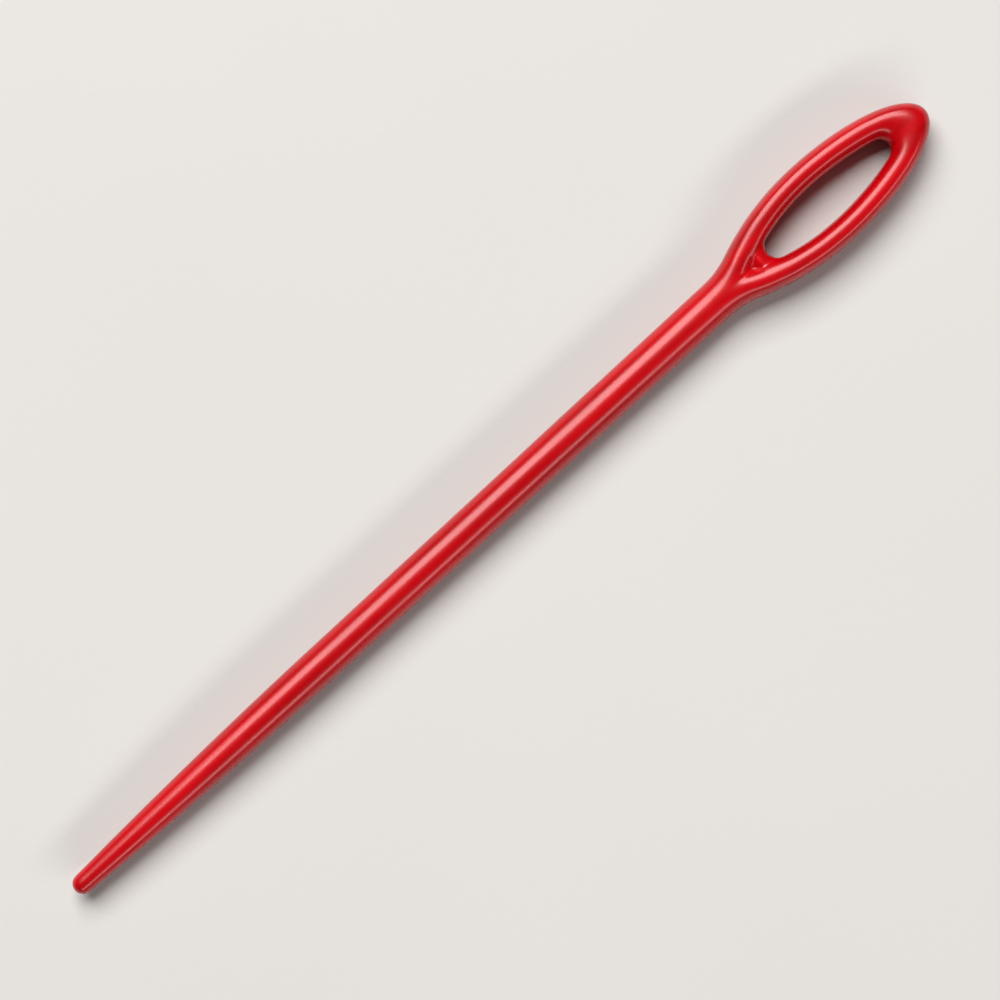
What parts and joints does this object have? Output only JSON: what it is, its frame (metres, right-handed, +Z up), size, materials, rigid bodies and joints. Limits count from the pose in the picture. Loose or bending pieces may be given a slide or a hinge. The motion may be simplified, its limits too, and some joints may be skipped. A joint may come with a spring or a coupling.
{
  "type": "yarn needle",
  "caption": "Blunt plastic needle for yarn: a straight round shank with a rounded point and a long oval eye in a flared loop.",
  "frame": {"origin": "middle of the needle's length and width, on the surface that it lies on", "axes": "+X along the shank from the point towards the eye, +Z up out of the surface, through the eye; +Y is to the left of +X"},
  "size_m": [0.09, 0.0074, 0.0033],
  "materials": {
    "red_plastic": "glossy injection-moulded polypropylene, coloured red all through"
  },
  "bodies": {
    "root": {"needle": "red_plastic"}
  },
  "joints": []
}
